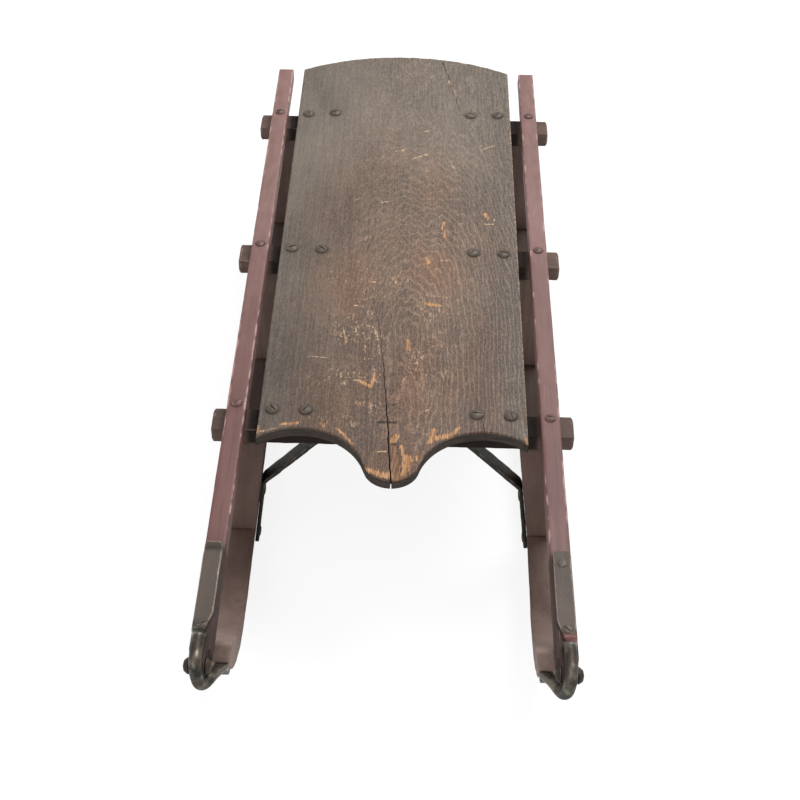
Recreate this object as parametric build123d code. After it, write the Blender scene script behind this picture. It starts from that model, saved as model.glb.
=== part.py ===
from build123d import *
import os
from math import acos, asin, atan2, cos, degrees, hypot, radians, sin, sqrt, tan

# Antique wooden snow sled, in millimetres.
# X is across the sled, Y runs from the noses (negative) to the tails, Z is up from the floor.
# Pieces are drawn with Y = 0 at the front face of the front beam, then moved so that the
# middle of the sled's length is at the origin.

# Cross beams, flat bars that carry the deck and the rails
beam_length = 380.0
beam_width = 32.0
beam_height = 19.0
beam_pitch = 284.5
beam_end_chamfer = 2.5

# Deck, one wide board with a crowned tail and an ogee nose
deck_gap = 13.5
deck_thickness = 13.0
deck_edge_chamfer = 1.5
deck_tail_reach = 97.0
deck_crown = 38.0
deck_nose_reach = 79.0
deck_nose_radius = 29.0
scallop_share = 0.681
scallop_reach = 7.0

# Rails, straight hand rails on the beams' ends, rounded over at the front
rail_inset = 26.75
rail_width = 20.5
rail_height = 18.0
rail_edge_radius = 1.5
rail_front_reach = 309.0
rail_tail_reach = 88.0
cheek_inner = 4.5
cheek_outer = 1.5
cheek_reach = 11.0

# Runners, sawn planks that lean outwards, with a horn at the front that carries the rail
splay = 7.2
plank_thickness = 29.0
runner_height = 38.5
runner_tail_reach = 244.0
heel_radius = 20.0
tail_corner_radius = 12.0
horn_sole_radius = 320.0
horn_top_gap = 4.0
horn_slope = 47.0
horn_setback = 31.0
horn_seat = 4.0
horn_face_run = 11.0
horn_face_drop = 13.0
nose_taper = 7.5
nose_taper_length = 184.0

# Posts that stand on the runners and are tenoned at both ends
post_height = 136.5
post_width = 32.0
post_inset = 42.5
tenon_width = 20.0
tenon_thickness = 11.0
beam_tenon_length = 12.0
runner_tenon_length = 20.0
tenon_clearance = 0.2

# Iron shoes: a flat sole, a round bar about the rail's end and a strap on top of the rail
shoe_width = 14.0
shoe_thickness = 5.0
shoe_heel_rise = 32.0
bar_diameter = 12.0
bar_gap = 0.5
neck_share = 0.58
bar_lean = 4.0
knee_share = 0.97
bar_lap = 21.0
strap_width = 18.4
strap_thickness = 3.0
strap_length = 136.5
strap_neck = 33.0
strap_offset = 1.0
bar_offset = 2.0
strap_end_radius = 6.0

# Iron pins across the rails' front ends
pin_diameter = 6.0
pin_head_diameter = 16.0
pin_head_height = 6.0
pin_head_rim = 1.2
pin_clearance = 0.15

# Iron braces from beneath the beams to the inner faces of the posts and runners
brace_width = 18.0
brace_thickness = 5.0
brace_reach = 102.5
brace_bend_reach = 69.5
brace_foot_top = 111.0
brace_foot_bottom = 11.0
brace_bend_radius = 14.0
brace_end_radius = 8.5

BEAM_NAMES = ("front", "middle", "rear")

# Heights and places that follow from the sizes above
rail_place = beam_length / 2 - rail_inset
deck_width = 2 * (rail_place - rail_width / 2 - deck_gap)
scallop_place = scallop_share * deck_width / 2
horn_reach = rail_front_reach - horn_setback
nose_taper_start = horn_reach + horn_face_run - nose_taper_length
post_top_place = beam_length / 2 - post_inset
runner_top = shoe_thickness + runner_height
post_top = runner_top + post_height
beam_top = post_top + beam_height
rail_top = beam_top + rail_height
last_beam_back = (len(BEAM_NAMES) - 1) * beam_pitch + beam_width
runner_tail = last_beam_back + runner_tail_reach
pin_height = beam_top + rail_height / 2
pin_length = rail_width - cheek_inner - cheek_outer
pin_place = rail_place + (cheek_inner - cheek_outer) / 2
bar_radius = bar_diameter / 2
wrap_radius = rail_height / 2 + bar_gap + bar_radius
front_end = -rail_front_reach - wrap_radius - bar_radius
rear_end = runner_tail + shoe_thickness / cos(radians(splay))
middle_shift = Location((0, -(front_end + rear_end) / 2, 0))


def plank_place(height):
    """Middle of a leaning plank, across the sled, at a height above the floor."""
    return post_top_place + (post_top - height) * tan(radians(splay))


def slope_up(height):
    """Distance along the lean that reaches a height above the floor."""
    return height / cos(radians(splay))


def on_circle(centre, radius, angle):
    """Point on a circle, with the angle in degrees from straight down towards the front."""
    return (centre[0] - radius * sin(radians(angle)), centre[1] - radius * cos(radians(angle)))


def lean_out(profile, thickness):
    """Right-hand plank from a profile of lengths and slope distances, level across its thickness."""
    face_plane = Plane(
        origin=(plank_place(0) - thickness / 2, 0, 0),
        x_dir=(0, 1, 0),
        z_dir=(cos(radians(splay)), 0, sin(radians(splay))),
    )
    return extrude(face_plane * profile, amount=thickness, dir=(1, 0, 0))


def leaning_block(y_low, y_high, low, high, thickness):
    """Right-hand block between two lengths and two heights, on the middle of the planks."""
    corners = [
        (y_low, slope_up(low)),
        (y_high, slope_up(low)),
        (y_high, slope_up(high)),
        (y_low, slope_up(high)),
    ]
    return lean_out(make_face(Polyline(*corners, close=True)), thickness)


# Lines of the runner that the wood and the iron share, as length and slope distance
sole_level = slope_up(shoe_thickness)
sole_depth = sole_level
horn_tip = (-horn_reach - horn_face_run, slope_up(beam_top - horn_face_drop))
horn_rise = horn_tip[1] - sole_level
horn_run = sqrt(horn_rise * (2 * horn_sole_radius - horn_rise))
horn_angle = degrees(acos(1 - horn_rise / horn_sole_radius))
horn_centre = (horn_tip[0] + horn_run, sole_level + horn_sole_radius)
heel_centre = (runner_tail - heel_radius, sole_level + heel_radius)


def runner_profile():
    """Outline of a runner plank: flat sole, horn with a seat, level top and rounded tail."""
    top_level = slope_up(runner_top)
    seat_level = slope_up(beam_top)
    seat_back = (-horn_reach + horn_seat, seat_level)
    rise = seat_level - top_level
    run = -horn_top_gap - seat_back[0]
    slope = radians(horn_slope)
    top_radius = (run * sin(slope) - rise * cos(slope)) / (1 - cos(slope))
    top_centre = (-horn_top_gap, top_level + top_radius)
    corner = (runner_tail - tail_corner_radius, top_level - tail_corner_radius)
    sole_start = on_circle(horn_centre, horn_sole_radius, 0)
    sole_middle = on_circle(horn_centre, horn_sole_radius, horn_angle / 2)
    top_start = on_circle(top_centre, top_radius, 0)
    top_middle = on_circle(top_centre, top_radius, horn_slope / 2)
    top_end = on_circle(top_centre, top_radius, horn_slope)
    heel_start = on_circle(heel_centre, heel_radius, 0)
    heel_end = on_circle(heel_centre, heel_radius, -90)
    edges = [
        Line(heel_start, sole_start),
        ThreePointArc(sole_start, sole_middle, horn_tip),
        Line(horn_tip, (-horn_reach, seat_level)),
        Line((-horn_reach, seat_level), seat_back),
        Line(seat_back, top_end),
        ThreePointArc(top_end, top_middle, top_start),
        Line(top_start, (corner[0], top_level)),
        ThreePointArc(
            (corner[0], top_level),
            on_circle(corner, tail_corner_radius, -135),
            (runner_tail, corner[1]),
        ),
        Line((runner_tail, corner[1]), heel_end),
        ThreePointArc(heel_end, on_circle(heel_centre, heel_radius, -45), heel_start),
    ]
    return make_face(edges)


def sole_profile():
    """Outline of the iron beneath a runner, from the tail's end to the horn's tip."""
    inner = horn_sole_radius
    outer = horn_sole_radius + sole_depth
    heel_outer = heel_radius + sole_depth
    tail_face = runner_tail + sole_depth
    end_level = sole_level + shoe_heel_rise
    edges = [
        Line(on_circle(heel_centre, heel_radius, 0), on_circle(horn_centre, inner, 0)),
        ThreePointArc(
            on_circle(horn_centre, inner, 0),
            on_circle(horn_centre, inner, horn_angle / 2),
            on_circle(horn_centre, inner, horn_angle),
        ),
        Line(
            on_circle(horn_centre, inner, horn_angle),
            on_circle(horn_centre, outer, horn_angle),
        ),
        ThreePointArc(
            on_circle(horn_centre, outer, horn_angle),
            on_circle(horn_centre, outer, horn_angle / 2),
            on_circle(horn_centre, outer, 0),
        ),
        Line(on_circle(horn_centre, outer, 0), on_circle(heel_centre, heel_outer, 0)),
        ThreePointArc(
            on_circle(heel_centre, heel_outer, 0),
            on_circle(heel_centre, heel_outer, -45),
            on_circle(heel_centre, heel_outer, -90),
        ),
        Line((tail_face, heel_centre[1]), (tail_face, end_level)),
        Line((tail_face, end_level), (runner_tail, end_level)),
        Line((runner_tail, end_level), (runner_tail, heel_centre[1])),
        ThreePointArc(
            on_circle(heel_centre, heel_radius, -90),
            on_circle(heel_centre, heel_radius, -45),
            on_circle(heel_centre, heel_radius, 0),
        ),
    ]
    return make_face(edges)


def nose_waste():
    """Wood trimmed off a right-hand horn's inner face: a long taper towards the nose."""
    inner = plank_place(0) - plank_thickness / 2
    front = -horn_tip[0]
    length = front - nose_taper_start
    radius = (length**2 + nose_taper**2) / (2 * nose_taper)
    half_taper = radius - sqrt(radius**2 - length**2 / 4)
    edges = [
        ThreePointArc(
            (inner, -nose_taper_start),
            (inner + half_taper, -nose_taper_start - length / 2),
            (inner + nose_taper, -front),
        ),
        Line((inner + nose_taper, -front), (inner + nose_taper, -rail_front_reach)),
        Line((inner + nose_taper, -rail_front_reach), (inner - plank_thickness, -rail_front_reach)),
        Line((inner - plank_thickness, -rail_front_reach), (inner - plank_thickness, -nose_taper_start)),
        Line((inner - plank_thickness, -nose_taper_start), (inner, -nose_taper_start)),
    ]
    lean = (-sin(radians(splay)), 0, cos(radians(splay)))
    return extrude(make_face(edges), amount=slope_up(rail_top), dir=lean)


def make_shoe():
    """Right-hand shoe: sole, bar about the rail's rounded end and strap on the rail."""
    sole = lean_out(sole_profile(), shoe_width)
    sole_end = sole.faces().sort_by(Axis.Z)[-1]
    strap_place = rail_place + strap_offset
    bar_place = rail_place + bar_offset
    bar_top = rail_top + bar_gap + bar_radius
    bar_front = -rail_front_reach - wrap_radius
    start = sole_end.center()
    ahead = start.Y + rail_front_reach
    above = pin_height - start.Z
    climb = atan2(above, ahead) - asin(wrap_radius / hypot(above, ahead))
    knee = Vector(bar_place - bar_lean, bar_front, start.Z + (start.Y - bar_front) * tan(climb))
    reach = knee - start
    neck_end = start + reach * neck_share
    top_corner = Vector(bar_place, bar_front, bar_top)
    bar_end = Vector(bar_place, -rail_front_reach + bar_lap, bar_top)
    path = FilletPolyline(neck_end, knee, top_corner, bar_end, radius=[wrap_radius * knee_share, wrap_radius])
    lower_ring = Plane(origin=neck_end, z_dir=reach) * Circle(bar_radius)
    upper_ring = Plane(origin=bar_end, z_dir=(0, 1, 0)) * Circle(bar_radius)
    bar = sweep(lower_ring, path=path)
    flat = Box(
        strap_width, strap_length - strap_neck, strap_thickness, align=(Align.CENTER, Align.MIN, Align.MIN)
    ).moved(Location((strap_place, -rail_front_reach + strap_neck, rail_top)))
    flat = fillet(flat.edges().filter_by(Axis.Z).group_by(Axis.Y)[-1], strap_end_radius)
    flat_front = flat.faces().sort_by(Axis.Y)[0]
    neck = loft([sole_end, lower_ring.face()], ruled=True)
    spread = loft([upper_ring.face(), flat_front], ruled=True)
    return sole + neck + bar + spread + flat


def make_deck():
    """Board with a crowned tail and a nose of one round between two scallops."""
    half = deck_width / 2
    nose_centre = -deck_nose_reach + deck_nose_radius
    depth = -scallop_reach - nose_centre
    scallop_radius = (scallop_place**2 + depth**2 - deck_nose_radius**2) / (2 * (depth + deck_nose_radius))
    scallop_centre = -scallop_reach - scallop_radius
    apart = hypot(scallop_place, scallop_centre - nose_centre)
    turn_x = deck_nose_radius * scallop_place / apart
    turn_y = nose_centre + deck_nose_radius * (scallop_centre - nose_centre) / apart
    corner_y = scallop_centre + sqrt(scallop_radius**2 - (half - scallop_place) ** 2)
    tail_y = last_beam_back + deck_tail_reach
    edges = [
        ThreePointArc((-turn_x, turn_y), (0, -deck_nose_reach), (turn_x, turn_y)),
        ThreePointArc((turn_x, turn_y), (scallop_place, -scallop_reach), (half, corner_y)),
        Line((half, corner_y), (half, tail_y)),
        ThreePointArc((half, tail_y), (0, tail_y + deck_crown), (-half, tail_y)),
        Line((-half, tail_y), (-half, corner_y)),
        ThreePointArc((-half, corner_y), (-scallop_place, -scallop_reach), (-turn_x, turn_y)),
    ]
    board = extrude(Plane.XY.offset(beam_top) * make_face(edges), amount=deck_thickness)
    return chamfer(board.edges().group_by(Axis.Z)[-1], deck_edge_chamfer)


def make_beam(front):
    """Beam with its front face at a length, mortised from below for two posts."""
    bar = Box(
        beam_length, beam_width, beam_height, align=(Align.CENTER, Align.MIN, Align.MIN)
    ).moved(Location((0, front, post_top)))
    end_edges = bar.faces().filter_by(Axis.X).edges()
    bar = chamfer(end_edges, beam_end_chamfer)
    mortise = tenon(front, post_top, post_top + beam_tenon_length, tenon_clearance)
    return bar - mortise - mirror(mortise, about=Plane.YZ)


def tenon(front, low, high, ease=0.0):
    """Tenon on a post's middle between two heights, or its mortise when eased all round."""
    middle = front + beam_width / 2
    half = tenon_width / 2 + ease
    return leaning_block(middle - half, middle + half, low - ease, high + ease, tenon_thickness + 2 * ease)


def make_post(front):
    """Right-hand post under a beam, with a tenon at each end."""
    middle = front + beam_width / 2
    stem = leaning_block(
        middle - post_width / 2, middle + post_width / 2, runner_top, post_top, plank_thickness
    )
    lower = tenon(front, runner_top - runner_tenon_length, runner_top)
    upper = tenon(front, post_top, post_top + beam_tenon_length)
    return stem + lower + upper


def make_runner(beam_fronts):
    """Right-hand runner plank, mortised from above for its posts."""
    plank = lean_out(runner_profile(), plank_thickness) - nose_waste()
    for front in beam_fronts:
        plank = plank - tenon(front, runner_top - runner_tenon_length, runner_top, tenon_clearance)
    return plank


def make_rail():
    """Right-hand rail with a rounded front end, cut back at both cheeks and bored for its pin."""
    front = -rail_front_reach
    back = last_beam_back + rail_tail_reach
    edges = [
        Line((front, beam_top), (back, beam_top)),
        Line((back, beam_top), (back, rail_top)),
        Line((back, rail_top), (front, rail_top)),
        ThreePointArc((front, rail_top), (front - rail_height / 2, pin_height), (front, beam_top)),
    ]
    side = Plane(origin=(rail_place - rail_width / 2, 0, 0), x_dir=(0, 1, 0), z_dir=(1, 0, 0))
    bar = extrude(side * make_face(edges), amount=rail_width)
    bar = fillet(bar.edges().filter_by(Axis.Y), rail_edge_radius)
    cheek_length = cheek_reach + rail_height
    cheek = Box(rail_width, cheek_length, 2 * rail_height).moved(
        Location((0, front + cheek_reach - cheek_length / 2, pin_height))
    )
    apart = pin_length / 2 + rail_width / 2
    bar = bar - cheek.moved(Location((pin_place - apart, 0, 0))) - cheek.moved(Location((pin_place + apart, 0, 0)))
    hole = Cylinder(pin_diameter / 2 + pin_clearance, 2 * rail_width, rotation=(0, 90, 0))
    return bar - hole.moved(Location((pin_place, front, pin_height)))


def make_nose_pin():
    """Right-hand pin across a rail's front end, with a faceted dome for a head on each cheek."""
    shank = Cylinder(pin_diameter / 2, pin_length)
    head_radius = pin_head_diameter / 2
    dome = pin_head_height - pin_head_rim
    outline = [
        (0, 0),
        (head_radius, 0),
        (head_radius, pin_head_rim),
        (0.65 * head_radius, pin_head_rim + 0.75 * dome),
        (0, pin_head_height),
    ]
    profile = make_face(Polyline(*outline, close=True))
    head = revolve(Plane.XZ * profile, Axis.Z).moved(Location((0, 0, pin_length / 2)))
    pin = shank + head + mirror(head, about=Plane.XY)
    return Location((pin_place, -rail_front_reach, pin_height), (0, 90, 0)) * pin


def make_brace(front):
    """Right-hand strip from beneath a beam to a post's inner face and down onto the runner."""
    middle = front + beam_width / 2
    inset = plank_thickness / 2 + brace_thickness / 2 / cos(radians(splay))
    flange_level = post_top - brace_thickness / 2
    route = [
        (post_top_place - brace_reach, middle, flange_level),
        (post_top_place - brace_bend_reach, middle, flange_level),
        (plank_place(brace_foot_top) - inset, middle, brace_foot_top),
        (plank_place(brace_foot_bottom) - inset, middle, brace_foot_bottom),
    ]
    path = FilletPolyline(*route, radius=brace_bend_radius)
    section = Plane(origin=route[0], x_dir=(0, 1, 0), z_dir=(1, 0, 0)) * Rectangle(brace_width, brace_thickness)
    strip = sweep(section, path=path)
    start_corners = strip.edges().filter_by(Axis.Z)
    strip = fillet(start_corners, brace_end_radius)
    foot_corners = strip.faces().sort_by(Axis.Z)[0].edges().filter_by(Axis.Y, reverse=True)
    return fillet(foot_corners, brace_end_radius)


def export(name, piece):
    """Write one piece to its own file, with the sled's middle at the origin."""
    export_step(piece.moved(middle_shift), f"parts/{name}.step")


def export_pair(name, right):
    """Write a right-hand piece and its mirror image."""
    export(f"{name}_right", right)
    export(f"{name}_left", mirror(right, about=Plane.YZ))


os.makedirs("parts", exist_ok=True)
beam_fronts = [number * beam_pitch for number in range(len(BEAM_NAMES))]

export("deck", make_deck())
for beam_name, beam_front in zip(BEAM_NAMES, beam_fronts):
    export(f"beam_{beam_name}", make_beam(beam_front))
    export_pair(f"post_{beam_name}", make_post(beam_front))
    export_pair(f"brace_{beam_name}", make_brace(beam_front))
export_pair("runner", make_runner(beam_fronts))
export_pair("rail", make_rail())
export_pair("shoe", make_shoe())
export_pair("nose_pin", make_nose_pin())
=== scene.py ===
"""Dress the packed snow sled: worn deck board, maroon rails, dark frame timber and wrought iron."""

import logging
import math
from dataclasses import dataclass, replace
from enum import Enum
from typing import Any, ClassVar

import bmesh
import bpy
import numpy as np
from bpy.types import ID, Material, Mesh, NodeSocket, NodeTree, Object
from mathutils import Matrix, Vector, noise
from mathutils.kdtree import KDTree


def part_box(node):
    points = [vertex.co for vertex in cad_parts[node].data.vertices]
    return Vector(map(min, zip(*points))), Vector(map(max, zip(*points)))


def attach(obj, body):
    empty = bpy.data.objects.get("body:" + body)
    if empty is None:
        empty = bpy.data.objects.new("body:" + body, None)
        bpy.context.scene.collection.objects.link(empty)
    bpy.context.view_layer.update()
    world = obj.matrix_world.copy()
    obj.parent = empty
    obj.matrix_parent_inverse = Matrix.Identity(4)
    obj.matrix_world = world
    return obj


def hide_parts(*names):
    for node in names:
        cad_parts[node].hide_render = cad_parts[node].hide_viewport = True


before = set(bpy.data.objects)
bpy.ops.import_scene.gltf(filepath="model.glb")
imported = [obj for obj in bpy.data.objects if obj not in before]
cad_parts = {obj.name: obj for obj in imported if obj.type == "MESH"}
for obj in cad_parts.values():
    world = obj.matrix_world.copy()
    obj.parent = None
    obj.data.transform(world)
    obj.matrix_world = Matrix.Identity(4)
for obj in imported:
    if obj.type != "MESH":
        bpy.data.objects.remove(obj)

BODY = "root"
MM = 0.001
SIDES = ("left", "right")
BEAMS = ("front", "middle", "rear")
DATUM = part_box("beam_front")[0][1]
RAIL_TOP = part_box("rail_right")[1][2]
UP = Vector((0, 0, 1))
log = logging.getLogger("sled")

Array = np.ndarray
Place = tuple[float, float]
Colour = tuple[float, float, float]
Shades = tuple[Colour, Colour]
Table = tuple[tuple[float, ...], ...]


def tint(*channels: int) -> Colour:
    """Give the linear colour of a display colour, from its red, green and blue of 0 to 255."""
    shares = (value / 255 for value in channels)
    return tuple(share / 12.92 if share <= 0.04045 else ((share + 0.055) / 1.055) ** 2.4 for share in shares)


def ease(values: Array, low: float, high: float) -> Array:
    """Step smoothly from 0 at low to 1 at high; low may be the larger one."""
    share = np.clip((values - low) / (high - low), 0, 1)
    return share * share * (3 - 2 * share)


def bell(values: Array, width: float, power: int = 2) -> Array:
    """Fall from 1 at zero to nothing past a width, more abruptly with a higher power."""
    return np.exp(-((values / width) ** power))


def fall(distance: Array, width: float) -> Array:
    """Fall from 1 at an edge towards 0 with the distance from it."""
    return np.exp(-np.clip(distance, 0, None) / width)


@dataclass
class Signal:
    """A number, colour, vector or geometry that flows between nodes, with operators as Math nodes."""

    home: "Tree"
    socket: NodeSocket | None

    def _math(self, operation: str, first: Any, second: Any = 0.0) -> "Signal":
        """Add one Math node on two numbers or signals."""
        return self.home.add("ShaderNodeMath", {"operation": operation}, {0: first, 1: second})

    def __add__(self, other: Any) -> "Signal":
        """Add."""
        return self._math("ADD", self, other)

    __radd__ = __add__

    def __sub__(self, other: Any) -> "Signal":
        """Subtract."""
        return self._math("SUBTRACT", self, other)

    def __rsub__(self, other: Any) -> "Signal":
        """Subtract from a number."""
        return self._math("SUBTRACT", other, self)

    def __mul__(self, other: Any) -> "Signal":
        """Multiply."""
        return self._math("MULTIPLY", self, other)

    __rmul__ = __mul__

    def __truediv__(self, other: Any) -> "Signal":
        """Divide."""
        return self._math("DIVIDE", self, other)

    def __rtruediv__(self, other: Any) -> "Signal":
        """Divide a number."""
        return self._math("DIVIDE", other, self)

    def __pow__(self, other: Any) -> "Signal":
        """Raise to a power."""
        return self._math("POWER", self, other)

    def __abs__(self) -> "Signal":
        """Take the size without the sign."""
        return self._math("ABSOLUTE", self)

    def fraction(self) -> "Signal":
        """Take the part after the point."""
        return self._math("FRACT", self)

    def most(self, other: Any) -> "Signal":
        """Take the larger of two values."""
        return self._math("MAXIMUM", self, other)

    def rise(self, low: float, high: float) -> "Signal":
        """Step smoothly from 0 at low to 1 at high."""
        values = {0: self, 1: low, 2: high, 3: 0.0, 4: 1.0}
        return self.home.add("ShaderNodeMapRange", {"interpolation_type": "SMOOTHSTEP"}, values)


@dataclass
class Tree:
    """A node tree, with one method that adds any node."""

    tree: NodeTree

    def add(
        self,
        kind: str,
        settings: dict[str, Any] | None = None,
        inputs: dict[int | str, Any] | None = None,
        out: int | str = 0,
    ) -> Signal:
        """Add a node, set it up, then fill or link its sockets.

        Args:
            kind: The node's type.
            settings: The node's own settings.
            inputs: Values, signals or lists of signals by socket name or number.
            out: Name or number of the output to give back.

        Returns:
            The chosen output.
        """
        node = self.tree.nodes.new(kind)
        for name, value in (settings or {}).items():
            setattr(node, name, value)
        for key, value in (inputs or {}).items():
            for part in value if isinstance(value, list) else [value]:
                if isinstance(part, Signal):
                    self.tree.links.new(part.socket, node.inputs[key])
                else:
                    node.inputs[key].default_value = part
        return Signal(self, node.outputs[out] if node.outputs else None)

    def vector(self, across: Any, along: Any, up: Any) -> Signal:
        """Join three numbers or signals to a vector."""
        return self.add("ShaderNodeCombineXYZ", inputs={0: across, 1: along, 2: up})


class Board(Tree):
    """A material's node tree."""

    def __init__(self, name: str) -> None:
        """Start an empty material.

        Args:
            name: The material's name.
        """
        self.material = bpy.data.materials.new(name)
        self.material.use_nodes = True
        super().__init__(self.material.node_tree)
        self.tree.nodes.clear()

    def place(self) -> Signal:
        """Give the object coordinates."""
        return self.add("ShaderNodeTexCoord", out="Object")

    def axes(self) -> list[Signal]:
        """Give the three object coordinates one by one."""
        split = self.add("ShaderNodeSeparateXYZ", inputs={0: self.place()}).socket.node
        return [Signal(self, output) for output in split.outputs]

    def attribute(self, name: str) -> Signal:
        """Give a number that the mesh stores at its points."""
        return self.add("ShaderNodeAttribute", {"attribute_name": name}, out="Fac")

    def grain(self, stretch: Colour, detail: float = 3.0, turn: float = 0.0, rough: float = 0.55) -> Signal:
        """Give noise on object coordinates, with its own scale along each axis.

        Args:
            stretch: Features per metre along X, Y and Z.
            detail: Layers of finer noise.
            turn: Turn about Z, in degrees.
            rough: Strength of the finer layers.

        Returns:
            Noise from 0 to 1.
        """
        turned = {"Vector": self.place(), "Rotation": (0.0, 0.0, math.radians(turn))}
        scaled = {0: self.add("ShaderNodeMapping", inputs=turned), 1: stretch}
        spots = self.add("ShaderNodeVectorMath", {"operation": "MULTIPLY"}, scaled)
        layers = {"Vector": spots, "Scale": 1.0, "Detail": detail, "Roughness": rough}
        return self.add("ShaderNodeTexNoise", inputs=layers)

    def mix(self, factor: Any, first: Any, second: Any) -> Signal:
        """Blend two colours or signals, with a factor of 0 for the first and 1 for the second."""
        ends = [end if isinstance(end, Signal) else (*end, 1.0) for end in (first, second)]
        return self.add("ShaderNodeMix", {"data_type": "RGBA"}, {0: factor, 6: ends[0], 7: ends[1]}, out=2)

    def bump(self, height: Signal, distance: float, strength: float) -> Signal:
        """Turn a height from 0 to 1 into a normal, by a depth in metres and a share of the effect."""
        inputs = {"Height": height, "Distance": distance, "Strength": strength}
        return self.add("ShaderNodeBump", inputs=inputs)

    def finish(self, inputs: dict[str, Any]) -> Material:
        """Close the tree with a Principled shader that has these values and signals."""
        return self.close(self.add("ShaderNodeBsdfPrincipled", inputs=inputs))

    def close(self, shader: Signal) -> Material:
        """Link a shader to the material's output, and give the finished material."""
        self.add("ShaderNodeOutputMaterial", inputs={0: shader})
        return self.material


class Recipe(Tree):
    """A geometry node tree that makes a mesh from points and named inputs."""

    def __init__(self, name: str, inputs: dict[str, str]) -> None:
        """Start a tree with its inputs.

        Args:
            name: The tree's name.
            inputs: Socket types by the inputs' names.
        """
        super().__init__(bpy.data.node_groups.new(name, "GeometryNodeTree"))
        face = self.tree.interface
        for title, kind in {"Geometry": "NodeSocketGeometry", **inputs}.items():
            face.new_socket(title, in_out="INPUT", socket_type=kind)
        face.new_socket("Geometry", in_out="OUTPUT", socket_type="NodeSocketGeometry")
        self.source = self.tree.nodes.new("NodeGroupInput")

    def given(self, title: str) -> Signal:
        """Give one of the tree's inputs."""
        return Signal(self, self.source.outputs[title])

    def named(self, name: str, kind: str) -> Signal:
        """Give an attribute that the points store."""
        return self.add("GeometryNodeInputNamedAttribute", {"data_type": kind}, {"Name": name})

    def moved(self, mesh: Signal, **change: Any) -> Signal:
        """Move or scale a mesh, as a Transform node's sockets say."""
        return self.add("GeometryNodeTransform", inputs={"Geometry": mesh, **change})

    def run(self, points: Mesh, values: dict[str, Any]) -> Mesh:
        """Run the tree on points.

        Args:
            points: Mesh of loose points.
            values: Input values by name.

        Returns:
            A plain mesh of the result.
        """
        holder = placed("holder", points)
        modifier = holder.modifiers.new("recipe", "NODES")
        modifier.node_group = self.tree
        for item in self.tree.interface.items_tree:
            if item.in_out == "INPUT" and item.name in values:
                modifier[item.identifier] = values[item.name]
        return plain_mesh(holder)


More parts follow.
